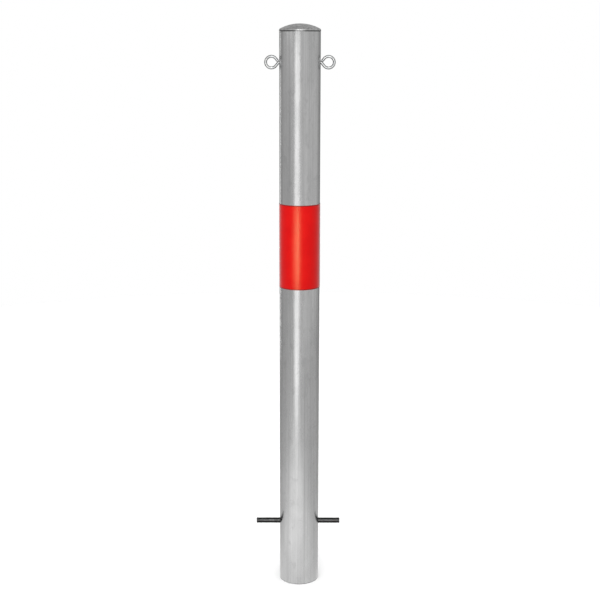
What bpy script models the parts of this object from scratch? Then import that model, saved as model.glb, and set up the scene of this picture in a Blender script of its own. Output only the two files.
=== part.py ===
"""Steel safety bollard: a galvanised tube to be set in concrete, with a domed cap, a wrapped
reflective band, two chain eyes bolted through the wall and a loose anchor rod near the foot.

Metres, +Z up. The origin is the centre of the tube's bottom end, which is the ground that the
bollard stands on before it is set. The eyes and the anchor rod lie along X.
"""

import math

import bmesh
import bpy
from mathutils import Vector

GAP = 0.0003  # between pieces that touch

TUBE_DIAMETER = 0.0889
TUBE_WALL = 0.0032
TUBE_LENGTH = 1.250
TUBE_EDGE_BREAK = 0.0004  # small chamfer on the sawn outer edges
TUBE_SIDES = 96

CAP_OVERHANG = 0.0004  # rim radius beyond the tube's
CAP_RIM_HEIGHT = 0.0012
CAP_KNUCKLE_RADIUS = 0.0045
CAP_CROWN_RADIUS = 0.092
CAP_THICKNESS = 0.002
CAP_SKIRT_LENGTH = 0.025
CAP_SIDES = 72
CAP_CROWN_STEPS = 7
CAP_KNUCKLE_STEPS = 4
CAP_UNDERSIDE_STEPS = 4

BAND_BOTTOM = 0.6955
BAND_HEIGHT = 0.1865
BAND_THICKNESS = 0.0004
BAND_LAP_STEPS = 3  # tube sides that the film's outer end covers a second time
BAND_START_STEP = 36  # tube side where the film starts, at the back

EYE_DROP = 0.065  # from the tube's top end to the eyes' centres
EYE_WIRE_DIAMETER = 0.006
EYE_RING_RADIUS = 0.0122  # of the wire's centre line
EYE_LEG_ANGLE = math.radians(50)  # of each leg to the shank's axis
EYE_NECK_STANDOFF = 0.0009  # from the tube's surface to where the legs meet
EYE_BEND_RADIUS = 0.0045  # of the wire's centre line, from the lower leg to the shank
EYE_END_SETBACK = 0.0029  # from where the legs meet back to the upper leg's cut end
EYE_SHANK_END = 0.031  # distance from the post's axis
EYE_POINT_CHAMFER = 0.0008
EYE_HOLE_DIAMETER = 0.008
EYE_RING_STEPS = 40
EYE_BEND_STEPS = 5

WASHER_DIAMETER = 0.012
WASHER_THICKNESS = 0.0016
NUT_ACROSS_FLATS = 0.010
NUT_HEIGHT = 0.005

ROD_DIAMETER = 0.012
ROD_LENGTH = 0.192
ROD_HEIGHT = 0.140
ROD_OFFSET = -0.0025  # the loose rod lies a little to the left of centre
ROD_EDGE_BREAK = 0.0005
ROD_HOLE_DIAMETER = 0.0135

TUBE_RADIUS = TUBE_DIAMETER / 2
BORE_RADIUS = TUBE_RADIUS - TUBE_WALL
EYE_HEIGHT = TUBE_LENGTH - EYE_DROP
EYE_WIRE_RADIUS = EYE_WIRE_DIAMETER / 2
ROUND_SIDES = 24

GALVANISED = ("galvanised_steel", (0.40, 0.40, 0.40), 0.42, 1.0)
CAST = ("cast_aluminium", (0.33, 0.33, 0.33), 0.55, 1.0)
RED_FILM = ("red_reflective_film", (0.75, 0.01, 0.015), 0.35, 0.0)
BRIGHT_ZINC = ("bright_zinc", (0.62, 0.62, 0.60), 0.25, 1.0)
RAW_STEEL = ("raw_black_steel", (0.09, 0.09, 0.09), 0.45, 1.0)


def clear_scene():
    for scene_object in list(bpy.data.objects):
        bpy.data.objects.remove(scene_object, do_unlink=True)


def make_material(name, colour, roughness, metallic):
    """Return the named material, made once and shared by the pieces that have it."""
    material = bpy.data.materials.get(name)
    if material is None:
        material = bpy.data.materials.new(name)
        material.use_nodes = True
        shader = material.node_tree.nodes["Principled BSDF"]
        shader.inputs["Base Color"].default_value = (*colour, 1.0)
        shader.inputs["Roughness"].default_value = roughness
        shader.inputs["Metallic"].default_value = metallic
    return material


def add_object(name, data, finish, parent):
    """Link a mesh or curve to the scene under its parent empty."""
    piece = bpy.data.objects.new(name, data)
    bpy.context.scene.collection.objects.link(piece)
    piece.parent = parent
    if finish:
        data.materials.append(make_material(*finish))
    return piece


def mesh_from(name, bm):
    """Turn a bmesh into a mesh with outward faces and smooth shading between sharp edges."""
    bmesh.ops.remove_doubles(bm, verts=bm.verts, dist=1e-6)
    bmesh.ops.recalc_face_normals(bm, faces=bm.faces)
    mesh = bpy.data.meshes.new(name)
    bm.to_mesh(mesh)
    bm.free()
    mesh.shade_smooth()
    mesh.set_sharp_from_angle(angle=math.radians(30))
    return mesh


def turned_mesh(name, profile, sides, closed=True):
    """Spin a profile of (radius, height) points once round Z."""
    bm = bmesh.new()
    verts = [bm.verts.new((radius, 0.0, height)) for radius, height in profile]
    edges = [bm.edges.new(pair) for pair in zip(verts, verts[1:])]
    if closed:
        edges.append(bm.edges.new((verts[-1], verts[0])))
    bmesh.ops.spin(
        bm,
        geom=verts + edges,
        cent=(0, 0, 0),
        axis=(0, 0, 1),
        angle=math.tau,
        steps=sides,
        use_merge=True,
    )
    return mesh_from(name, bm)


def arc(centre, radius, start, end, steps):
    """Points on an arc in its own plane, both ends included, angles in radians."""
    points = []
    for step in range(steps + 1):
        angle = start + (end - start) * step / steps
        points.append(
            (centre[0] + radius * math.cos(angle), centre[1] + radius * math.sin(angle))
        )
    return points


def cut_hole(target, name, diameter, length, location):
    """Cut a round hole along X through target with a hidden cutter."""
    radius = diameter / 2
    profile = [(0.0, -length / 2), (radius, -length / 2), (radius, length / 2), (0.0, length / 2)]
    cutter = add_object(name, turned_mesh(name, profile, ROUND_SIDES, closed=False), None, None)
    cutter.location = location
    cutter.rotation_euler = (0.0, math.pi / 2, 0.0)
    cutter.hide_render = True
    cutter.display_type = "WIRE"
    boolean = target.modifiers.new(name, "BOOLEAN")
    boolean.operation = "DIFFERENCE"
    boolean.object = cutter


def build_tube(parent):
    """The post: a sawn length of round tube with cross holes for the eyes and the anchor rod."""
    profile = [
        (TUBE_RADIUS - TUBE_EDGE_BREAK, 0.0),
        (TUBE_RADIUS, TUBE_EDGE_BREAK),
        (TUBE_RADIUS, TUBE_LENGTH - TUBE_EDGE_BREAK),
        (TUBE_RADIUS - TUBE_EDGE_BREAK, TUBE_LENGTH),
        (BORE_RADIUS, TUBE_LENGTH),
        (BORE_RADIUS, 0.0),
    ]
    mesh = turned_mesh("post_tube", profile, TUBE_SIDES)
    tube = add_object("post_tube", mesh, GALVANISED, parent)
    across = 1.5 * TUBE_DIAMETER
    cut_hole(tube, "eye_hole_cutter", EYE_HOLE_DIAMETER, across, (0.0, 0.0, EYE_HEIGHT))
    # The rod lies on the bottom of its holes, so the holes' axis is a little above the rod's.
    hole_height = ROD_HEIGHT + (ROD_HOLE_DIAMETER - ROD_DIAMETER) / 2 - GAP
    cut_hole(tube, "rod_hole_cutter", ROD_HOLE_DIAMETER, across, (0.0, 0.0, hole_height))


def build_cap(parent):
    """The domed cap: a hollow crown with a rounded edge and a skirt that fits into the bore."""
    rim_radius = TUBE_RADIUS + CAP_OVERHANG
    rim_bottom = TUBE_LENGTH + GAP
    knuckle_centre = (rim_radius - CAP_KNUCKLE_RADIUS, rim_bottom + CAP_RIM_HEIGHT)
    centres_apart = CAP_CROWN_RADIUS - CAP_KNUCKLE_RADIUS
    crown_rise = math.sqrt(centres_apart**2 - knuckle_centre[0] ** 2)
    crown_centre = (0.0, knuckle_centre[1] - crown_rise)
    tangent = math.atan2(crown_rise, knuckle_centre[0])
    skirt_outer = BORE_RADIUS - GAP
    skirt_inner = skirt_outer - CAP_THICKNESS
    inner_crown_radius = CAP_CROWN_RADIUS - CAP_THICKNESS
    inner_end = math.acos(skirt_inner / inner_crown_radius)

    profile = arc(crown_centre, CAP_CROWN_RADIUS, math.pi / 2, tangent, CAP_CROWN_STEPS)
    profile += arc(knuckle_centre, CAP_KNUCKLE_RADIUS, tangent, 0.0, CAP_KNUCKLE_STEPS)[1:]
    profile += [
        (rim_radius, rim_bottom),
        (skirt_outer, rim_bottom),
        (skirt_outer, TUBE_LENGTH - CAP_SKIRT_LENGTH),
        (skirt_inner, TUBE_LENGTH - CAP_SKIRT_LENGTH),
    ]
    profile += arc(crown_centre, inner_crown_radius, inner_end, math.pi / 2, CAP_UNDERSIDE_STEPS)
    profile[0] = (0.0, profile[0][1])
    profile[-1] = (0.0, profile[-1][1])
    mesh = turned_mesh("domed_cap", profile, CAP_SIDES, closed=False)
    add_object("domed_cap", mesh, CAST, parent)


def build_band(parent):
    """The reflective film: one strip wrapped round the tube, its outer end lapped over its start."""
    bm = bmesh.new()
    base = TUBE_RADIUS + GAP
    lift = BAND_THICKNESS + GAP
    sections = []
    for step in range(TUBE_SIDES + BAND_LAP_STEPS + 1):
        angle = math.tau * (BAND_START_STEP + step) / TUBE_SIDES
        inner = base if step < TUBE_SIDES else base + lift
        corners = []
        for radius, height in (
            (inner, 0.0),
            (inner + BAND_THICKNESS, 0.0),
            (inner + BAND_THICKNESS, BAND_HEIGHT),
            (inner, BAND_HEIGHT),
        ):
            x = radius * math.cos(angle)
            y = radius * math.sin(angle)
            corners.append(bm.verts.new((x, y, BAND_BOTTOM + height)))
        sections.append(corners)
    bm.faces.new(sections[0])
    bm.faces.new(sections[-1])
    for near, far in zip(sections, sections[1:]):
        for side in range(4):
            after = (side + 1) % 4
            bm.faces.new((near[side], near[after], far[after], far[side]))
    add_object("reflective_band", mesh_from("reflective_band", bm), RED_FILM, parent)


def eye_route():
    """The eye bolt's centre line as (distance from the post's axis, height above the shank)."""
    neck = TUBE_RADIUS + EYE_NECK_STANDOFF
    centre = (neck + EYE_RING_RADIUS / math.sin(EYE_LEG_ANGLE), 0.0)
    leg = Vector((math.cos(EYE_LEG_ANGLE), math.sin(EYE_LEG_ANGLE)))
    cut_end = Vector((neck, 0.0)) + EYE_END_SETBACK * leg
    touch = math.pi / 2 + EYE_LEG_ANGLE
    bend_start = neck - EYE_BEND_RADIUS * math.tan(EYE_LEG_ANGLE / 2)
    bend_centre = (bend_start, -EYE_BEND_RADIUS)
    bend_end = math.pi / 2 - EYE_LEG_ANGLE

    route = [tuple(cut_end)]
    route += arc(centre, EYE_RING_RADIUS, touch, -touch, EYE_RING_STEPS)
    route += arc(bend_centre, EYE_BEND_RADIUS, bend_end, math.pi / 2, EYE_BEND_STEPS)
    route += [(EYE_SHANK_END + EYE_POINT_CHAMFER, 0.0), (EYE_SHANK_END, 0.0)]
    return route


def build_eye_bolt(name, side, parent):
    """A closed eye bolt bent from one round wire, its shank running into the tube along X."""
    curve = bpy.data.curves.new(name, "CURVE")
    curve.dimensions = "3D"
    curve.bevel_depth = EYE_WIRE_RADIUS
    curve.bevel_resolution = 6
    curve.use_fill_caps = True
    spline = curve.splines.new("POLY")
    route = eye_route()
    spline.points.add(len(route) - 1)
    for point, (distance, height) in zip(spline.points, route):
        point.co = (side * distance, 0.0, height, 1.0)
    spline.points[-1].radius = 1.0 - EYE_POINT_CHAMFER / EYE_WIRE_RADIUS
    spline.use_smooth = True
    bolt = add_object(name, curve, BRIGHT_ZINC, parent)
    bolt.location = (0.0, 0.0, EYE_HEIGHT)


def washer_outer_face():
    """Distance from the post's axis: the washer's edge meets the curved bore a gap away."""
    return math.sqrt(BORE_RADIUS**2 - (WASHER_DIAMETER / 2) ** 2) - GAP


def build_washer(name, side, parent):
    """A plain washer lying across the tube's bore."""
    hole = EYE_WIRE_RADIUS + GAP
    rim = WASHER_DIAMETER / 2
    half = WASHER_THICKNESS / 2
    profile = [(hole, -half), (rim, -half), (rim, half), (hole, half)]
    washer = add_object(name, turned_mesh(name, profile, ROUND_SIDES), BRIGHT_ZINC, parent)
    washer.location = (side * (washer_outer_face() - half), 0.0, EYE_HEIGHT)
    washer.rotation_euler = (0.0, math.pi / 2, 0.0)


def build_nut(name, side, parent):
    """A hexagon nut on the shank, one corner facing up."""
    bm = bmesh.new()
    corner_radius = NUT_ACROSS_FLATS / math.sqrt(3)
    loops = []
    for height in (-NUT_HEIGHT / 2, NUT_HEIGHT / 2):
        outline = []
        hole = []
        for step in range(ROUND_SIDES):
            angle = math.tau * step / ROUND_SIDES
            direction = Vector((math.cos(angle), math.sin(angle), 0.0))
            # Distance to the hexagon's edge in this direction, corners on multiples of 60 degrees.
            turn = angle % (math.pi / 3) - math.pi / 6
            reach = corner_radius * math.cos(math.pi / 6) / math.cos(turn)
            outline.append(bm.verts.new(direction * reach + Vector((0.0, 0.0, height))))
            bore = direction * (EYE_WIRE_RADIUS + GAP)
            hole.append(bm.verts.new(bore + Vector((0.0, 0.0, height))))
        loops.append((outline, hole))
    (low_outline, low_hole), (high_outline, high_hole) = loops
    rings = [low_outline, high_outline, high_hole, low_hole]
    for ring, following in zip(rings, rings[1:] + rings[:1]):
        for step in range(ROUND_SIDES):
            after = (step + 1) % ROUND_SIDES
            bm.faces.new((ring[step], ring[after], following[after], following[step]))
    nut = add_object(name, mesh_from(name, bm), BRIGHT_ZINC, parent)
    centre = washer_outer_face() - WASHER_THICKNESS - GAP - NUT_HEIGHT / 2
    nut.location = (side * centre, 0.0, EYE_HEIGHT)
    nut.rotation_euler = (0.0, math.pi / 2, 0.0)


def build_rod(parent):
    """The anchor rod: a loose round bar through both walls, its origin on its own axis."""
    radius = ROD_DIAMETER / 2
    half = ROD_LENGTH / 2
    profile = [
        (0.0, -half),
        (radius - ROD_EDGE_BREAK, -half),
        (radius, -half + ROD_EDGE_BREAK),
        (radius, half - ROD_EDGE_BREAK),
        (radius - ROD_EDGE_BREAK, half),
        (0.0, half),
    ]
    mesh = turned_mesh("anchor_rod", profile, ROUND_SIDES, closed=False)
    rod = add_object("anchor_rod", mesh, RAW_STEEL, parent)
    rod.location = (ROD_OFFSET, 0.0, 0.0)
    rod.rotation_euler = (0.0, math.pi / 2, 0.0)


def build_bollard():
    clear_scene()
    post = bpy.data.objects.new("post", None)
    rod_axis = bpy.data.objects.new("rod_axis", None)
    for empty in (post, rod_axis):
        bpy.context.scene.collection.objects.link(empty)
    rod_axis.location = (0.0, 0.0, ROD_HEIGHT)

    build_tube(post)
    build_cap(post)
    build_band(post)
    for word, side in (("left", -1), ("right", 1)):
        build_eye_bolt(f"eye_bolt_{word}", side, post)
        build_washer(f"eye_washer_{word}", side, post)
        build_nut(f"eye_nut_{word}", side, post)
    build_rod(rod_axis)


build_bollard()
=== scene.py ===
"""Looks of a steel safety bollard: fine meshes, materials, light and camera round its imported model.

Metres, +Z up, the post's axis on Z, the chain eyes and the anchor rod along X. Every fine mesh
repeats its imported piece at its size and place, and rides on that piece's body.
"""

import math

import bmesh
import bpy
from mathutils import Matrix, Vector, noise


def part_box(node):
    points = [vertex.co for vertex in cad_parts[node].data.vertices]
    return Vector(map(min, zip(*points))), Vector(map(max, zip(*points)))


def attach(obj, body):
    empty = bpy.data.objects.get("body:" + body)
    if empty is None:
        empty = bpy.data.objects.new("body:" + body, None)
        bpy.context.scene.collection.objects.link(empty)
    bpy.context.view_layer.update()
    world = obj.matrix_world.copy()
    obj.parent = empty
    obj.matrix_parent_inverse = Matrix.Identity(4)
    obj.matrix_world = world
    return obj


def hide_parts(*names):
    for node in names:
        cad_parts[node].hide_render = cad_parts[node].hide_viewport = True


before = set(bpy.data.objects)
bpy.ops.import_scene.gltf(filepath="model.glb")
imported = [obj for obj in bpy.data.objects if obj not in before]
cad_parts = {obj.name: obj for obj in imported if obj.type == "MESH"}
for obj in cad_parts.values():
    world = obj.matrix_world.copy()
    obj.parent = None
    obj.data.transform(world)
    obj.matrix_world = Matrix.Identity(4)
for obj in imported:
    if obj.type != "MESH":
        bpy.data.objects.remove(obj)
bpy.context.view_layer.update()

# Sizes read from the frame.
tube_low, tube_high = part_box("post_tube")
cap_low, cap_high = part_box("domed_cap")
band_low, band_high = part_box("reflective_band")
rod_low, rod_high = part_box("anchor_rod")
eye_low, eye_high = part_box("eye_bolt_right")
washer_low, washer_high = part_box("eye_washer_right")
nut_low, nut_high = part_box("eye_nut_right")

TUBE_RADIUS = tube_high.x
TUBE_LENGTH = tube_high.z
ROD_RADIUS = (rod_high.z - rod_low.z) / 2
ROD_HEIGHT = (rod_high.z + rod_low.z) / 2
EYE_WIRE = eye_high.y
EYE_HEIGHT = (eye_high.z + eye_low.z) / 2
EYE_RING_RADIUS = (eye_high.z - eye_low.z) / 2 - EYE_WIRE
GAP = 0.0003

# Sizes that the frame's boxes don't show.
TUBE_WALL = 0.0032
ROD_HOLE_RADIUS = 0.00675
EYE_HOLE_RADIUS = 0.004
EDGE_ROUND = 0.0003
CAP_KNUCKLE = 0.0045
CAP_CROWN = 0.092
CAP_RIM = 0.0012
CAP_WALL = 0.002
CAP_DENT = 0.00012
FILM_THICKNESS = 0.0004
FILM_START = math.radians(135)
FILM_LAP = math.radians(11.25)
EYE_LEG_ANGLE = math.radians(50)
EYE_BEND = 0.0045
EYE_END_SETBACK = 0.0029
THREAD_PITCH = 0.001
THREAD_DEPTH = 0.00045

BORE_RADIUS = TUBE_RADIUS - TUBE_WALL

# Studio: the camera's place, and lights whose watts and strengths are set per light below.
CAMERA_DISTANCE = 2.580
CAMERA_HEIGHT = 1.228
CAMERA_DOWN = 12.325
CAMERA_ROLL = -0.11
CAMERA_LENS = 70.96
FILM_LIGHT_HEIGHT = 0.58
FILM_GLINT_COLOUR = (0.55, 1.0, 0.7)


# ---------------------------------------------------------------- mesh helpers


def piece_from(name, mesh, body, node, material):
    """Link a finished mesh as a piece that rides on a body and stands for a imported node."""
    piece = bpy.data.objects.new(name, mesh)
    bpy.context.scene.collection.objects.link(piece)
    mesh.materials.clear()
    mesh.materials.append(material)
    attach(piece, body)
    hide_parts(node)
    return piece


def finish_mesh(name, bm, sharp_degrees=35):
    """Outward faces and smooth shading, with edges sharper than the angle kept sharp."""
    bmesh.ops.remove_doubles(bm, verts=bm.verts, dist=1e-7)
    bmesh.ops.recalc_face_normals(bm, faces=bm.faces)
    mesh = bpy.data.meshes.new(name)
    bm.to_mesh(mesh)
    bm.free()
    mesh.shade_smooth()
    mesh.set_sharp_from_angle(angle=math.radians(sharp_degrees))
    return mesh


def skin_rings(bm, rings, closed=False):
    """Faces between rings of points; a ring of one point is a pole. Closed joins last to first."""
    made = [[bm.verts.new(point) for point in ring] for ring in rings]
    pairs = list(zip(made, made[1:]))
    if closed:
        pairs.append((made[-1], made[0]))
    for near, far in pairs:
        count = max(len(near), len(far))
        for side in range(count):
            after = (side + 1) % count
            if len(near) == 1:
                bm.faces.new((near[0], far[side], far[after]))
            elif len(far) == 1:
                bm.faces.new((near[side], near[after], far[0]))
            else:
                bm.faces.new((near[side], near[after], far[after], far[side]))


def ring_round_z(radius, height, sides):
    """Points round Z at one radius and height, or the single pole point on the axis."""
    if radius < 1e-9:
        return [Vector((0.0, 0.0, height))]
    turns = [math.tau * side / sides for side in range(sides)]
    return [Vector((radius * math.cos(t), radius * math.sin(t), height)) for t in turns]


def lathe(bm, profile, sides, closed=False):
    """Turn a profile of (radius, height) points round Z."""
    skin_rings(bm, [ring_round_z(radius, height, sides) for radius, height in profile], closed)


def arc(centre, radius, start, end, steps):
    """Points on an arc, both ends included, angles in radians."""
    turns = [start + (end - start) * step / steps for step in range(steps + 1)]
    return [(centre[0] + radius * math.cos(t), centre[1] + radius * math.sin(t)) for t in turns]


def round_corners(corners, steps=4, closed=True):
    """Replace each (x, y, radius) corner of an outline by a fillet of that radius."""
    points = []
    count = len(corners)
    for index, (x, y, radius) in enumerate(corners):
        here = Vector((x, y))
        at_end = not closed and index in (0, count - 1)
        if radius <= 0 or at_end:
            points.append((x, y))
            continue
        back = (Vector(corners[index - 1][:2]) - here).normalized()
        ahead = (Vector(corners[(index + 1) % count][:2]) - here).normalized()
        half = back.angle(ahead) / 2
        reach = radius / math.tan(half)
        centre = here + (back + ahead).normalized() * (radius / math.sin(half))
        start = here + back * reach - centre
        end = here + ahead * reach - centre
        turn = start.angle_signed(end)
        for step in range(steps + 1):
            # angle_signed is positive clockwise, so the spoke turns by its negative.
            part = -turn * step / steps
            spoke = Vector(
                (
                    start.x * math.cos(part) - start.y * math.sin(part),
                    start.x * math.sin(part) + start.y * math.cos(part),
                )
            )
            points.append(tuple(centre + spoke))
    return points


def cylinder_cutter(name, radius, height):
    """A hidden round cutter along X through the whole post."""
    bm = bmesh.new()
    reach = 1.6 * TUBE_RADIUS
    rings = []
    for x in (-reach, reach):
        turns = [math.tau * side / 96 for side in range(96)]
        rings.append(
            [Vector((x, radius * math.cos(t), height + radius * math.sin(t))) for t in turns]
        )
    rings.insert(0, [Vector((-reach, 0.0, height))])
    rings.append([Vector((reach, 0.0, height))])
    skin_rings(bm, rings)
    mesh = finish_mesh(name, bm)
    cutter = bpy.data.objects.new(name, mesh)
    bpy.context.scene.collection.objects.link(cutter)
    return cutter


def baked_mesh(scratch, name):
    """The scratch object's mesh with its modifiers applied, the scratch object then removed."""
    bpy.context.view_layer.update()
    graph = bpy.context.evaluated_depsgraph_get()
    mesh = bpy.data.meshes.new_from_object(scratch.evaluated_get(graph))
    mesh.name = name
    bpy.data.objects.remove(scratch)
    return mesh


# ---------------------------------------------------------------- material helpers


class Surface:
    """A Principled material with short calls for the node chains that feed it."""

    def __init__(self, name, **constants):
        self.material = bpy.data.materials.new(name)
        self.material.use_nodes = True
        self.tree = self.material.node_tree
        self.shader = self.tree.nodes["Principled BSDF"]
        for socket, value in constants.items():
            self.shader.inputs[socket.replace("_", " ")].default_value = value
        self.place = self.tree.nodes.new("ShaderNodeTexCoord").outputs["Object"]

    def node(self, kind, inputs, **settings):
        """Add a node; inputs maps a socket's name or number to a value or to an output."""
        made = self.tree.nodes.new(kind)
        for key, value in settings.items():
            setattr(made, key, value)
        for key, value in inputs.items():
            if isinstance(value, bpy.types.NodeSocket):
                self.tree.links.new(value, made.inputs[key])
            else:
                made.inputs[key].default_value = value
        return made

    def stretched(self, x=1.0, y=1.0, z=1.0, shift=(0.0, 0.0, 0.0)):
        """The object's coordinates, scaled along each axis and shifted."""
        inputs = {"Vector": self.place, "Scale": (x, y, z), "Location": shift}
        return self.node("ShaderNodeMapping", inputs).outputs["Vector"]

    def noise(self, vector, scale, detail=3.0, roughness=0.5, distortion=0.0):
        inputs = {
            "Vector": vector,
            "Scale": scale,
            "Detail": detail,
            "Roughness": roughness,
            "Distortion": distortion,
        }
        return self.node("ShaderNodeTexNoise", inputs).outputs["Fac"]

    def cells(self, vector, scale, feature="F1", randomness=1.0):
        inputs = {"Vector": vector, "Scale": scale, "Randomness": randomness}
        made = self.node("ShaderNodeTexVoronoi", inputs, feature=feature)
        return made.outputs["Distance"]

    def math(self, operation, *values):
        inputs = dict(enumerate(values))
        return self.node("ShaderNodeMath", inputs, operation=operation).outputs[0]

    def span(self, value, low, high, to_low, to_high):
        """Map value from low..high to to_low..to_high, clamped."""
        inputs = {
            "Value": value,
            "From Min": low,
            "From Max": high,
            "To Min": to_low,
            "To Max": to_high,
        }
        return self.node("ShaderNodeMapRange", inputs).outputs["Result"]

    def blend(self, factor, first, second, mode="MIX"):
        """Mix two colours by a factor."""
        made = self.tree.nodes.new("ShaderNodeMix")
        made.data_type = "RGBA"
        made.blend_type = mode
        for socket, value in ((0, factor), (6, first), (7, second)):
            if isinstance(value, bpy.types.NodeSocket):
                self.tree.links.new(value, made.inputs[socket])
            elif socket == 0:
                made.inputs[socket].default_value = value
            else:
                made.inputs[socket].default_value = (*value, 1.0)
        return made.outputs[2]

    def height(self):
        """The object's own Z coordinate."""
        return self.node("ShaderNodeSeparateXYZ", {0: self.place}).outputs["Z"]

    def bump(self, height, distance, strength=1.0, below=None):
        inputs = {"Height": height, "Distance": distance, "Strength": strength}
        if below is not None:
            inputs["Normal"] = below
        return self.node("ShaderNodeBump", inputs).outputs["Normal"]

    def feed(self, **links):
        for socket, output in links.items():
            self.tree.links.new(output, self.shader.inputs[socket.replace("_", " ")])
        return self.material


def grey(value):
    return (value, value, value)


def seam_painted_shade(surface):
    """Painted shade in the seam under the cap, weakest at the front, where the strip light's
    highlight washes the seam out.
    """
    spot = surface.node("ShaderNodeSeparateXYZ", {0: surface.place})
    along = surface.math("ABSOLUTE", surface.math("SUBTRACT", spot.outputs["X"], -0.001))
    side = surface.span(along, 0.006, 0.014, 0.15, 1.0)
    back = surface.span(spot.outputs["Y"], -0.01, 0.0, 0.0, 1.0)
    return surface.math("MAXIMUM", side, back)


def galvanised_steel():
    """Smooth zinc on a drawn tube: long faint streaks, soft clouds and a fine grain."""
    s = Surface("galvanised_steel", Metallic=1.0)
    streaks = s.noise(s.stretched(z=0.012), 210.0, 4.0, 0.6)
    wide_streaks = s.noise(s.stretched(z=0.03, shift=(3.0, 1.0, 0.0)), 60.0, 2.0)
    clouds = s.noise(s.stretched(z=0.45), 22.0, 5.0, 0.62, 0.4)
    grain = s.noise(s.place, 1500.0, 2.0)
    dimples = s.noise(s.stretched(z=0.55, shift=(0.4, 0.1, 0.7)), 80.0, 3.0, 0.55)
    lines = s.noise(s.stretched(z=0.006, shift=(1.0, 5.0, 0.3)), 480.0, 2.0)
    nicks = s.cells(s.stretched(z=0.4, shift=(0.3, 0.2, 0.9)), 110.0)
    nicks = s.math("ADD", nicks, s.span(dimples, 0.46, 0.56, 0.12, 0.0))

    tone = s.blend(s.span(streaks, 0.33, 0.67, 0.0, 1.0), grey(0.53), grey(0.68))
    tone = s.blend(s.span(wide_streaks, 0.35, 0.65, 0.0, 0.5), tone, grey(0.66))
    tone = s.blend(s.span(clouds, 0.38, 0.68, 0.0, 0.55), tone, grey(0.50))
    tone = s.blend(s.span(dimples, 0.56, 0.72, 0.0, 0.5), tone, grey(0.46))
    tone = s.blend(s.span(lines, 0.66, 0.72, 0.0, 0.45), tone, grey(0.36))
    tone = s.blend(s.span(nicks, 0.03, 0.10, 0.5, 0.0), tone, grey(0.34))
    # Painted shade darkens the seam under the cap.
    z = s.height()
    seam = s.span(z, TUBE_LENGTH - 0.0013, TUBE_LENGTH - 0.0007, 0.0, 1.0)
    tone = s.blend(s.math("MULTIPLY", seam, seam_painted_shade(s)), tone, grey(0.05))
    # Darker over the tube's lowest two millimetres, at the sawn foot.
    foot = s.span(z, 0.0006, 0.0022, 0.7, 0.0)
    tone = s.blend(foot, tone, grey(0.22))

    dull = s.span(clouds, 0.3, 0.75, 0.22, 0.30)
    dull = s.math("ADD", dull, s.span(streaks, 0.3, 0.7, -0.03, 0.03))
    normal = s.bump(wide_streaks, 0.00012, 0.5)
    normal = s.bump(dimples, 0.0003, 0.6, normal)
    normal = s.bump(streaks, 0.00003, 0.4, normal)
    normal = s.bump(grain, 0.000012, 0.5, normal)
    return s.feed(Base_Color=tone, Roughness=dull, Normal=normal)


def cast_aluminium():
    """A dull casting with a sandy, blotched skin."""
    s = Surface("cast_aluminium", Metallic=1.0)
    blotches = s.noise(s.stretched(z=1.4), 150.0, 4.0, 0.6, 0.3)
    sand = s.noise(s.place, 1300.0, 3.0, 0.7)
    tone = s.blend(s.span(blotches, 0.32, 0.68, 0.0, 1.0), grey(0.38), grey(0.72))
    tone = s.blend(s.span(sand, 0.4, 0.7, 0.0, 0.25), tone, grey(0.36))
    # Painted shade darkens the bottom of the rim, along the seam over the tube.
    rim = s.span(s.height(), TUBE_LENGTH + 0.0008, TUBE_LENGTH + 0.0013, 1.0, 0.0)
    tone = s.blend(s.math("MULTIPLY", rim, seam_painted_shade(s)), tone, grey(0.05))
    dull = s.span(blotches, 0.3, 0.7, 0.52, 0.38)
    normal = s.bump(blotches, 0.0004, 0.7)
    normal = s.bump(sand, 0.00005, 0.6, normal)
    return s.feed(Base_Color=tone, Roughness=dull, Normal=normal)


def red_film():
    """Red reflective film: clear top layer over a fine bead layer, darker at its cut edges."""
    s = Surface(
        "red_reflective_film",
        Metallic=0.0,
        Specular_IOR_Level=0.18,
        Sheen_Weight=0.7,
        Sheen_Roughness=0.3,
        Specular_Tint=(1.0, 0.72, 0.5, 1.0),
    )
    beads = s.cells(s.place, 2600.0)
    patches = s.noise(s.place, 30.0, 3.0)
    tone = s.blend(s.span(patches, 0.3, 0.7, 0.0, 1.0), (0.53, 0.001, 0.003), (0.59, 0.002, 0.003))
    tone = s.blend(s.span(beads, 0.1, 0.6, 0.0, 0.12), tone, (0.42, 0.0, 0.004))
    z = s.height()
    low = s.span(z, band_low.z + 0.0016, band_low.z + 0.0030, 0.8, 0.0)
    high = s.span(z, band_high.z - 0.0030, band_high.z - 0.0016, 0.0, 0.8)
    tone = s.blend(s.math("MAXIMUM", low, high), tone, (0.16, 0.004, 0.006))
    dull = s.span(patches, 0.3, 0.7, 0.30, 0.36)
    normal = s.bump(patches, 0.0002, 0.25)
    normal = s.bump(beads, 0.00002, 0.35, normal)
    return s.feed(Base_Color=tone, Roughness=dull, Normal=normal)


def bright_zinc():
    """Plated wire and hardware: bright, with faint drawing lines and cloudy tone."""
    s = Surface("bright_zinc", Metallic=1.0, Specular_Tint=(0.6, 0.6, 0.6, 1.0))
    clouds = s.noise(s.place, 260.0, 3.0)
    pits = s.noise(s.place, 2200.0, 2.0)
    tone = s.blend(s.span(clouds, 0.3, 0.7, 0.0, 1.0), (0.30, 0.31, 0.32), (0.47, 0.47, 0.46))
    dull = s.span(clouds, 0.3, 0.7, 0.18, 0.30)
    normal = s.bump(pits, 0.00001, 0.5)
    return s.feed(Base_Color=tone, Roughness=dull, Normal=normal)


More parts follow.
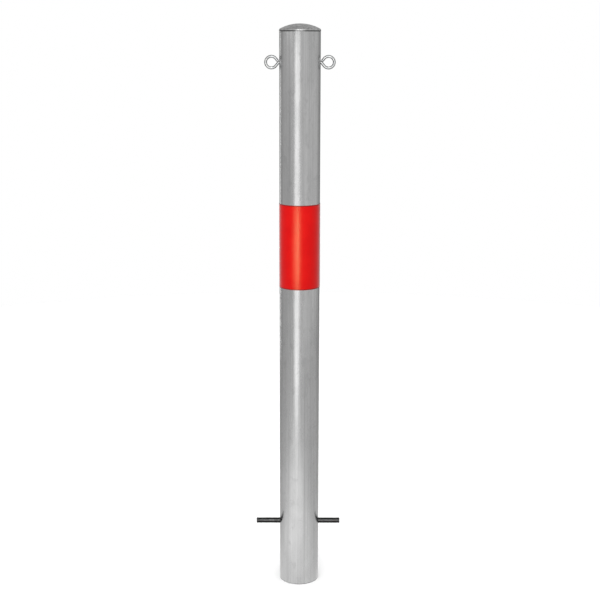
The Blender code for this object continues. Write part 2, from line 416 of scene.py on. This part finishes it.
def raw_black_steel():
    """Hot-rolled bar: dark mill scale, lighter where it has flaked, a little rust."""
    s = Surface("raw_black_steel", Metallic=0.85, Specular_Tint=(0.2, 0.2, 0.2, 1.0))
    scale = s.noise(s.stretched(x=0.5), 320.0, 5.0, 0.65, 0.5)
    flakes = s.noise(s.stretched(x=0.6, shift=(0.2, 0.7, 0.1)), 130.0, 4.0, 0.7)
    grain = s.noise(s.place, 1800.0, 2.0)
    tone = s.blend(s.span(scale, 0.35, 0.65, 0.0, 1.0), grey(0.012), grey(0.032))
    tone = s.blend(s.span(flakes, 0.60, 0.68, 0.0, 0.4), tone, grey(0.10))
    tone = s.blend(s.span(flakes, 0.28, 0.34, 0.35, 0.0), tone, (0.05, 0.026, 0.016))
    dull = s.span(scale, 0.3, 0.7, 0.28, 0.42)
    normal = s.bump(scale, 0.00015, 0.6)
    normal = s.bump(grain, 0.00002, 0.5, normal)
    return s.feed(Base_Color=tone, Roughness=dull, Normal=normal)


# ---------------------------------------------------------------- pieces


def cylinder_normals(mesh):
    """Give the long walls exact round normals, so that no facet shows beside a cut hole."""
    normals = []
    for loop in mesh.loops:
        normals.append(Vector(mesh.corner_normals[loop.index].vector))
    for polygon in mesh.polygons:
        for index in polygon.loop_indices:
            spot = mesh.vertices[mesh.loops[index].vertex_index].co
            radial = Vector((spot.x, spot.y, 0.0)).normalized()
            facing = polygon.normal.dot(radial)
            if facing > 0.995 and abs(polygon.normal.z) < 0.02:
                normals[index] = radial
    mesh.normals_split_custom_set(normals)


def build_tube(material):
    """The post's tube with rounded sawn ends, drilled holes and the weld bead in its bore."""
    sides = 288
    bm = bmesh.new()
    profile = [
        (TUBE_RADIUS, 0.0),
        (TUBE_RADIUS, TUBE_LENGTH),
        (BORE_RADIUS, TUBE_LENGTH),
        (BORE_RADIUS, 0.0),
    ]
    lathe(bm, profile, sides, closed=True)
    bead_angle = math.radians(65)
    bead_height = 0.0006
    bead_reach = 0.0012
    for vert in bm.verts:
        radius = math.hypot(vert.co.x, vert.co.y)
        if radius < (TUBE_RADIUS + BORE_RADIUS) / 2:
            off = (math.atan2(vert.co.y, vert.co.x) - bead_angle) * BORE_RADIUS
            rise = bead_height * math.exp(-((off / bead_reach) ** 2))
            vert.co.x *= (radius - rise) / radius
            vert.co.y *= (radius - rise) / radius
    scratch = bpy.data.objects.new("tube_scratch", finish_mesh("tube_scratch", bm))
    bpy.context.scene.collection.objects.link(scratch)

    rod_hole_height = ROD_HEIGHT + ROD_HOLE_RADIUS - ROD_RADIUS - GAP
    cutters = [
        cylinder_cutter("eye_hole_cutter", EYE_HOLE_RADIUS, EYE_HEIGHT),
        cylinder_cutter("rod_hole_cutter", ROD_HOLE_RADIUS, rod_hole_height),
    ]
    for cutter in cutters:
        boolean = scratch.modifiers.new(cutter.name, "BOOLEAN")
        boolean.operation = "DIFFERENCE"
        boolean.object = cutter
    bevel = scratch.modifiers.new("edges", "BEVEL")
    bevel.width = EDGE_ROUND
    bevel.segments = 3
    bevel.limit_method = "ANGLE"
    bevel.angle_limit = math.radians(50)
    mesh = baked_mesh(scratch, "steel_tube")
    for cutter in cutters:
        bpy.data.objects.remove(cutter)
    mesh.shade_smooth()
    mesh.set_sharp_from_angle(angle=math.radians(60))
    cylinder_normals(mesh)
    return piece_from("steel_tube", mesh, "post", "post_tube", material)


def build_cap(material):
    """The domed cap: a slightly uneven crown, a rounded rim and the skirt in the bore."""
    rim_radius = cap_high.x
    rim_bottom = TUBE_LENGTH + GAP
    knuckle = (rim_radius - CAP_KNUCKLE, rim_bottom + CAP_RIM)
    rise = math.sqrt((CAP_CROWN - CAP_KNUCKLE) ** 2 - knuckle[0] ** 2)
    crown = (0.0, knuckle[1] - rise)
    tangent = math.atan2(rise, knuckle[0])
    skirt_outer = BORE_RADIUS - GAP
    skirt_inner = skirt_outer - CAP_WALL
    under = CAP_CROWN - CAP_WALL
    skirt_low = cap_low.z

    profile = arc(crown, CAP_CROWN, math.pi / 2, tangent, 48)
    profile += arc(knuckle, CAP_KNUCKLE, tangent, 0.0, 16)[1:]
    rim = [
        (*profile[-1], 0.0),
        (rim_radius, rim_bottom, 0.0004),
        (skirt_outer, rim_bottom, 0.0002),
        (skirt_outer, skirt_low, 0.0006),
        (skirt_inner, skirt_low, 0.0006),
        (skirt_inner, crown[1] + math.sqrt(under**2 - skirt_inner**2), 0.0),
    ]
    profile += round_corners(rim, closed=False)[1:]
    profile += arc(crown, under, math.acos(skirt_inner / under), math.pi / 2, 24)[1:]
    profile[0] = (0.0, profile[0][1])
    profile[-1] = (0.0, profile[-1][1])
    bm = bmesh.new()
    lathe(bm, profile, 240)
    for vert in bm.verts:
        if vert.co.z > knuckle[1]:
            dent = noise.fractal(vert.co * 90.0, 1.0, 2.0, 3)
            vert.co.z -= CAP_DENT * (0.5 + 0.5 * dent)
    mesh = finish_mesh("cast_cap", bm, 50)
    return piece_from("cast_cap", mesh, "post", "domed_cap", material)


def build_film(material):
    """The film: a strip wrapped once round, its outer end ramped up over its start."""
    base = TUBE_RADIUS + GAP
    lift = FILM_THICKNESS + GAP
    stations = 420
    whole = math.tau + FILM_LAP
    ramp = math.radians(4)
    corner = FILM_THICKNESS * 0.3
    rings = []
    for station in range(stations + 1):
        along = whole * station / stations
        climb = min(max((along - (math.tau - ramp)) / ramp, 0.0), 1.0)
        inner = base + lift * climb * climb * (3 - 2 * climb)
        outline = round_corners(
            [
                (inner, band_low.z, 0.0),
                (inner + FILM_THICKNESS, band_low.z, corner),
                (inner + FILM_THICKNESS, band_high.z, corner),
                (inner, band_high.z, 0.0),
            ],
            steps=3,
        )
        turn = FILM_START + along
        rings.append([Vector((r * math.cos(turn), r * math.sin(turn), z)) for r, z in outline])
    bm = bmesh.new()
    skin_rings(bm, rings)
    bm.verts.ensure_lookup_table()
    count = len(rings[0])
    bm.faces.new(bm.verts[:count])
    bm.faces.new(bm.verts[-count:])
    mesh = finish_mesh("red_film", bm, 40)
    return piece_from(
        "red_film", mesh, "post", "reflective_band", material
    )


def eye_centre_line():
    """Centre line of the right eye's wire, cut end first, as (distance from axis, height)."""
    centre_x = eye_high.x - EYE_WIRE - EYE_RING_RADIUS
    neck = centre_x - EYE_RING_RADIUS / math.sin(EYE_LEG_ANGLE)
    leg = Vector((math.cos(EYE_LEG_ANGLE), math.sin(EYE_LEG_ANGLE)))
    cut_end = Vector((neck, 0.0)) + EYE_END_SETBACK * leg
    touch = math.pi / 2 + EYE_LEG_ANGLE
    top_touch = Vector(arc((centre_x, 0.0), EYE_RING_RADIUS, touch, touch, 1)[0])
    line = [tuple(cut_end.lerp(top_touch, step / 8)) for step in range(8)]
    line += arc((centre_x, 0.0), EYE_RING_RADIUS, touch, -touch, 110)
    bend_x = neck - EYE_BEND * math.tan(EYE_LEG_ANGLE / 2)
    bend = arc((bend_x, -EYE_BEND), EYE_BEND, math.pi / 2 - EYE_LEG_ANGLE, math.pi / 2, 14)
    low_touch = Vector(line[-1])
    line += [tuple(low_touch.lerp(Vector(bend[0]), step / 8)) for step in range(1, 8)]
    line += bend
    steps = 168
    shank = bend[-1][0] - eye_low.x
    line += [(bend[-1][0] - shank * step / steps, 0.0) for step in range(1, steps + 1)]
    return line


def build_eye_bolt(name, side, node, material):
    """A bent wire eye with a sheared end at the neck and a cut thread on its shank."""
    line = [Vector((x, 0.0, z)) for x, z in eye_centre_line()]
    sides = 40
    thread_start = washer_high.x + 0.0005
    rings = [[line[0]]]
    last = len(line) - 1
    for index, spot in enumerate(line):
        ahead = line[min(index + 1, last)] - line[max(index - 1, 0)]
        tangent = ahead.normalized()
        across = Vector((-tangent.z, 0.0, tangent.x))
        # The sheared end is rounded over its first 0.3 mm.
        from_cut = (spot - line[0]).length if index < 20 else 1.0
        soften = 0.94 + 0.06 * min(from_cut / 0.0003, 1.0)
        if index == 0:
            soften = 0.90
        point_taper = min(max((spot.x - eye_low.x) / 0.0008, 0.0), 1.0)
        on_shank = index > 140 and spot.x < thread_start
        ring = []
        for step in range(sides):
            turn = math.tau * step / sides
            radius = EYE_WIRE * soften
            if on_shank:
                wave = (spot.x / THREAD_PITCH - step / sides) % 1.0
                runout = min((thread_start - spot.x) / 0.001, 1.0)
                radius -= THREAD_DEPTH * runout * abs(2 * wave - 1)
                radius = min(radius, EYE_WIRE * (0.74 + 0.26 * point_taper))
            offset = across * math.cos(turn) + Vector((0.0, 1.0, 0.0)) * math.sin(turn)
            ring.append(spot + offset * radius)
        rings.append(ring)
    rings.append([line[-1]])
    bm = bmesh.new()
    skin_rings(bm, rings)
    for vert in bm.verts:
        vert.co.x *= side
        vert.co.z += EYE_HEIGHT
    mesh = finish_mesh(name, bm, 50)
    return piece_from(name, mesh, "post", node, material)


def along_x(bm, middle, height):
    """Turn what was built round Z at the origin to lie round X at a place."""
    for vert in bm.verts:
        x, y, z = vert.co
        vert.co = Vector((middle + z, y, height - x))


def build_washer(name, side, node, material):
    """A punched washer: rounded on one face, with a sharper burr edge on the other."""
    half = (washer_high.x - washer_low.x) / 2
    rim = washer_high.y
    hole = EYE_WIRE + GAP
    corners = [
        (rim, -half, 0.00035),
        (rim, half, 0.00012),
        (hole, half, 0.00012),
        (hole, -half, 0.0003),
    ]
    bm = bmesh.new()
    lathe(bm, round_corners(corners), 96, closed=True)
    along_x(bm, side * (washer_high.x - half), EYE_HEIGHT)
    mesh = finish_mesh(name, bm, 50)
    return piece_from(name, mesh, "post", node, material)


def build_nut(name, side, node, material):
    """A hexagon nut, its corners chamfered on both faces, its plain bore countersunk."""
    half = (nut_high.x - nut_low.x) / 2
    flat = nut_high.y
    hole = EYE_WIRE + GAP
    sides = 144
    levels = [-half, -half + 0.0002, -half + 0.0005, -half + 0.0009]
    levels += [-level for level in reversed(levels)]
    rings = []
    for level in levels:
        ring = []
        cone = flat * 0.985 + (half - abs(level)) / math.tan(math.radians(30))
        for step in range(sides):
            turn = math.tau * step / sides
            off = turn % (math.pi / 3) - math.pi / 6
            radius = min(flat / math.cos(off), cone)
            ring.append(Vector((radius * math.cos(turn), radius * math.sin(turn), level)))
        rings.append(ring)
    sink = 0.0004
    bore = [(hole + sink, half), (hole, half - sink), (hole, -half + sink), (hole + sink, -half)]
    rings += [ring_round_z(radius, level, sides) for radius, level in bore]
    bm = bmesh.new()
    skin_rings(bm, rings, closed=True)
    along_x(bm, side * (nut_high.x - half), EYE_HEIGHT)
    mesh = finish_mesh(name, bm, 25)
    return piece_from(name, mesh, "post", node, material)


def build_rod(material):
    """The anchor rod: a hot-rolled bar, slightly uneven, with sawn ends and broken edges."""
    half = (rod_high.x - rod_low.x) / 2
    middle = (rod_high.x + rod_low.x) / 2
    steps = 120
    profile = [(0.0, -half), (ROD_RADIUS * 0.5, -half), (ROD_RADIUS - 0.0006, -half)]
    profile += [(ROD_RADIUS - 0.0002, -half + 0.00015), (ROD_RADIUS, -half + 0.0006)]
    body = half - 0.0012  # half the length of the bar's even middle, between its end roundings
    profile += [(ROD_RADIUS, -body + 2 * body * step / steps) for step in range(steps + 1)]
    profile += [(radius, -height) for radius, height in reversed(profile[:5])]
    bm = bmesh.new()
    lathe(bm, profile, 96)
    for vert in bm.verts:
        if math.hypot(vert.co.x, vert.co.y) > ROD_RADIUS * 0.9:
            rough = noise.fractal(vert.co * 170.0, 1.0, 2.0, 3)
            pull = 1.0 - 0.009 * (0.5 + 0.5 * rough)
            vert.co.x *= pull
            vert.co.y *= pull
    along_x(bm, middle, ROD_HEIGHT)
    mesh = finish_mesh("black_rod", bm, 50)
    return piece_from("black_rod", mesh, "anchor_rod", "anchor_rod", material)


# ---------------------------------------------------------------- studio


def build_camera():
    """The camera stands in front of the post, near its top, and looks a little down at it."""
    camera = bpy.data.objects.new("camera", bpy.data.cameras.new("camera"))
    bpy.context.scene.collection.objects.link(camera)
    camera.data.lens = CAMERA_LENS
    camera.data.sensor_width = 36.0
    camera.location = (0.0, -CAMERA_DISTANCE, CAMERA_HEIGHT)
    camera.rotation_euler = (math.radians(90 - CAMERA_DOWN), math.radians(CAMERA_ROLL), 0.0)
    bpy.context.scene.camera = camera


def softbox(name, place, target, width, height, watts, colour=(1.0, 1.0, 1.0)):
    """A rectangular soft light aimed at a point."""
    data = bpy.data.lights.new(name, "AREA")
    data.shape = "RECTANGLE"
    data.size = width
    data.size_y = height
    data.energy = watts
    data.color = colour
    light = bpy.data.objects.new(name, data)
    bpy.context.scene.collection.objects.link(light)
    light.location = place
    aim = Vector(target) - Vector(place)
    light.rotation_euler = aim.to_track_quat("-Z", "Y").to_euler()
    light.visible_camera = False
    return light


def daylight(name, elevation, azimuth, strength, spread):
    """Broad light that falls on matt surfaces but isn't mirrored in bright metal."""
    data = bpy.data.lights.new(name, "SUN")
    data.energy = strength
    data.angle = math.radians(spread)
    light = bpy.data.objects.new(name, data)
    bpy.context.scene.collection.objects.link(light)
    light.rotation_euler = (math.radians(90 - elevation), 0.0, math.radians(azimuth))
    light.visible_glossy = False
    light.visible_camera = False
    return light


def only_on(light, *piece_names):
    """Let a light fall on the named pieces alone."""
    chosen = bpy.data.collections.new(light.name + "_falls_on")
    for piece_name in piece_names:
        chosen.objects.link(bpy.data.objects[piece_name])
    light.light_linking.receiver_collection = chosen


def keep_off(light, piece_name):
    """Let a light fall on everything but the named piece."""
    spared = bpy.data.collections.new(light.name + "_misses")
    spared.objects.link(bpy.data.objects[piece_name])
    for entry in spared.collection_objects:
        entry.light_linking.link_state = "EXCLUDE"
    light.light_linking.receiver_collection = spared


def around(distance, degrees, height):
    """A place at a distance from the post's axis, at an angle round it to the left of the front."""
    turn = math.radians(degrees)
    return (-distance * math.sin(turn), -distance * math.cos(turn), height)


def build_lights():
    """Tall strips before and behind the post on the left, fills, a key and broad soft light.

    A softbox takes its place, its target, its width and height, and its watts. Daylight takes its
    elevation and its turn from straight in front in degrees, its strength and its spread.
    """
    softbox("strip", around(1.6, 15.0, 0.65), (0.0, 0.0, 0.65), 0.80, 1.28, 3.0)
    softbox("back_strip", around(2.0, 142.0, 0.68), (0.0, 0.0, 0.72), 0.25, 1.3, 1.4)
    softbox("high_box", around(2.0, 65.0, 1.55), (0.0, 0.0, 1.2), 1.6, 0.5, 1.0)
    softbox("right_fill", around(2.0, -32.0, 0.8), (0.0, 0.0, 0.8), 1.2, 1.6, 0.72)
    softbox("key", (0.0, -2.0, 2.7), (0.0, 0.0, 0.7), 0.9, 0.5, 10.0)
    aim = (0.0, 0.0, FILM_LIGHT_HEIGHT)
    for name, degrees, width, watts in (
        ("film_glint", 8.0, 0.10, 18.0),
        ("film_glow", 22.0, 0.36, 14.0),
    ):
        place = around(1.2, degrees, FILM_LIGHT_HEIGHT)
        glint = softbox(name, place, aim, width, 0.9, watts, FILM_GLINT_COLOUR)
        glint.visible_diffuse = False
        only_on(glint, "red_film")
    rod_glint = softbox("rod_glint", (0.0, -1.4, 0.75), (0.0, 0.0, 0.14), 0.8, 1.0, 40.0)
    eye_glint = softbox("eye_glint", (0.0, -1.2, 1.3), (0.0, 0.0, 1.185), 0.9, 0.9, 6.0)
    only_on(rod_glint, "black_rod")
    only_on(eye_glint, "wire_eye_left", "wire_eye_right")
    only_on(daylight("film_front", 15.0, -14.0, 1.68, 20.0), "red_film")
    only_on(daylight("film_back", 20.0, 180.0, 0.9, 40.0), "red_film")
    daylight("front_light", 35.0, -8.0, 0.75, 70.0)
    keep_off(daylight("top_light", 88.0, 0.0, 1.9, 60.0), "red_film")


def build_world():
    """A plain grey room: lightest in front and to the right, darker behind and overhead."""
    world = bpy.data.worlds.new("studio")
    bpy.context.scene.world = world
    world.use_nodes = True
    tree = world.node_tree
    background = tree.nodes["Background"]
    coordinates = tree.nodes.new("ShaderNodeTexCoord")
    split = tree.nodes.new("ShaderNodeSeparateXYZ")
    tree.links.new(coordinates.outputs["Generated"], split.inputs[0])

    def ramp(axis, low, high, to_low, to_high):
        made = tree.nodes.new("ShaderNodeMapRange")
        values = {"From Min": low, "From Max": high, "To Min": to_low, "To Max": to_high}
        for socket, value in values.items():
            made.inputs[socket].default_value = value
        tree.links.new(split.outputs[axis], made.inputs["Value"])
        return made.outputs["Result"]

    def combine(operation, first, second):
        made = tree.nodes.new("ShaderNodeMath")
        made.operation = operation
        tree.links.new(first, made.inputs[0])
        tree.links.new(second, made.inputs[1])
        return made.outputs[0]

    across = ramp("X", -1.0, 1.0, 0.50, 0.63)
    behind = ramp("Y", 0.25, 0.95, 1.0, 0.42)
    raised = ramp("Z", 0.05, 0.3, 0.0, 1.0)
    above = ramp("Z", 0.75, 1.0, 1.0, 0.6)
    level = combine("MULTIPLY", across, combine("MAXIMUM", behind, raised))
    level = combine("MULTIPLY", level, above)
    tree.links.new(level, background.inputs["Strength"])
    background.inputs["Color"].default_value = (1.0, 1.0, 1.0, 1.0)


def disc(name, radius, height):
    """A flat round sheet that faces up."""
    bm = bmesh.new()
    bmesh.ops.create_circle(bm, cap_ends=True, radius=radius, segments=128)
    sheet = bpy.data.objects.new(name, finish_mesh(name, bm))
    sheet.location.z = height
    return sheet


def glowing(name, strength):
    """A black surface that gives off white light, its strength a value or an output."""
    glow = Surface(name, Base_Color=(0.0, 0.0, 0.0, 1.0), Specular_IOR_Level=0.0)
    glow.shader.inputs["Emission Color"].default_value = (1.0, 1.0, 1.0, 1.0)
    glow.shader.inputs["Emission Strength"].default_value = strength
    return glow


def build_stage():
    """A pale paper floor, the glowing disc that the metal mirrors instead, painted with pools of
    light, and a white backdrop.
    """
    floor = disc("floor", 3.2, 0.0)
    paper = Surface("floor_paper", Roughness=0.9, Specular_IOR_Level=0.0)
    tooth = paper.noise(paper.place, 900.0, 2.0)
    tone = paper.blend(tooth, grey(0.88), grey(0.92))
    floor.data.materials.append(paper.feed(Base_Color=tone, Normal=paper.bump(tooth, 0.0001, 0.2)))
    floor.visible_glossy = False
    floor.visible_diffuse = False

    pool = disc("floor_pool", 2.6, -0.002)
    glow = glowing("pool_light", 1.0)
    spot = glow.node("ShaderNodeSeparateXYZ", {0: glow.place})
    # Painted light: the disc glows less behind the post, as a floor lit from the front would.
    level = glow.span(spot.outputs["Y"], 0.3, 1.0, 0.54, 0.38)
    # Two painted pools of light in front of the post, where the strip light brightens the floor, each
    # at (x, y), with its reach and its gain.
    for x, y, reach, gain in ((-0.17, -0.48, 0.58, 0.62), (-0.34, -1.36, 0.27, 0.95)):
        inputs = {0: glow.place, 1: (x, y, 0.0)}
        away = glow.node("ShaderNodeVectorMath", inputs, operation="DISTANCE").outputs["Value"]
        fade = glow.math("POWER", glow.math("DIVIDE", away, reach), 2.0)
        fade = glow.math("EXPONENT", glow.math("MULTIPLY", fade, -1.0))
        level = glow.math("MULTIPLY_ADD", fade, gain, level)
    pool.data.materials.append(glow.feed(Emission_Strength=level))
    pool.visible_camera = False
    pool.visible_diffuse = False
    pool.visible_shadow = False

    bm = bmesh.new()
    bmesh.ops.create_icosphere(bm, subdivisions=4, radius=12.0)
    backdrop = bpy.data.objects.new("backdrop", finish_mesh("backdrop", bm))
    backdrop.data.materials.append(glowing("backdrop_white", 1.0).material)
    backdrop.visible_diffuse = False
    backdrop.visible_glossy = False
    backdrop.visible_transmission = False
    backdrop.visible_shadow = False
    for thing in (floor, pool, backdrop):
        bpy.context.scene.collection.objects.link(thing)
    bpy.context.scene.view_settings.view_transform = "Standard"


def build_bollard():
    """Every piece of the post, each in its own material."""
    zinc = bright_zinc()
    build_tube(galvanised_steel())
    build_cap(cast_aluminium())
    build_film(red_film())
    for word, side in (("left", -1), ("right", 1)):
        build_eye_bolt(f"wire_eye_{word}", side, f"eye_bolt_{word}", zinc)
        build_washer(f"washer_{word}", side, f"eye_washer_{word}", zinc)
        build_nut(f"hex_nut_{word}", side, f"eye_nut_{word}", zinc)
    build_rod(raw_black_steel())


build_camera()
build_bollard()
build_lights()
build_world()
build_stage()
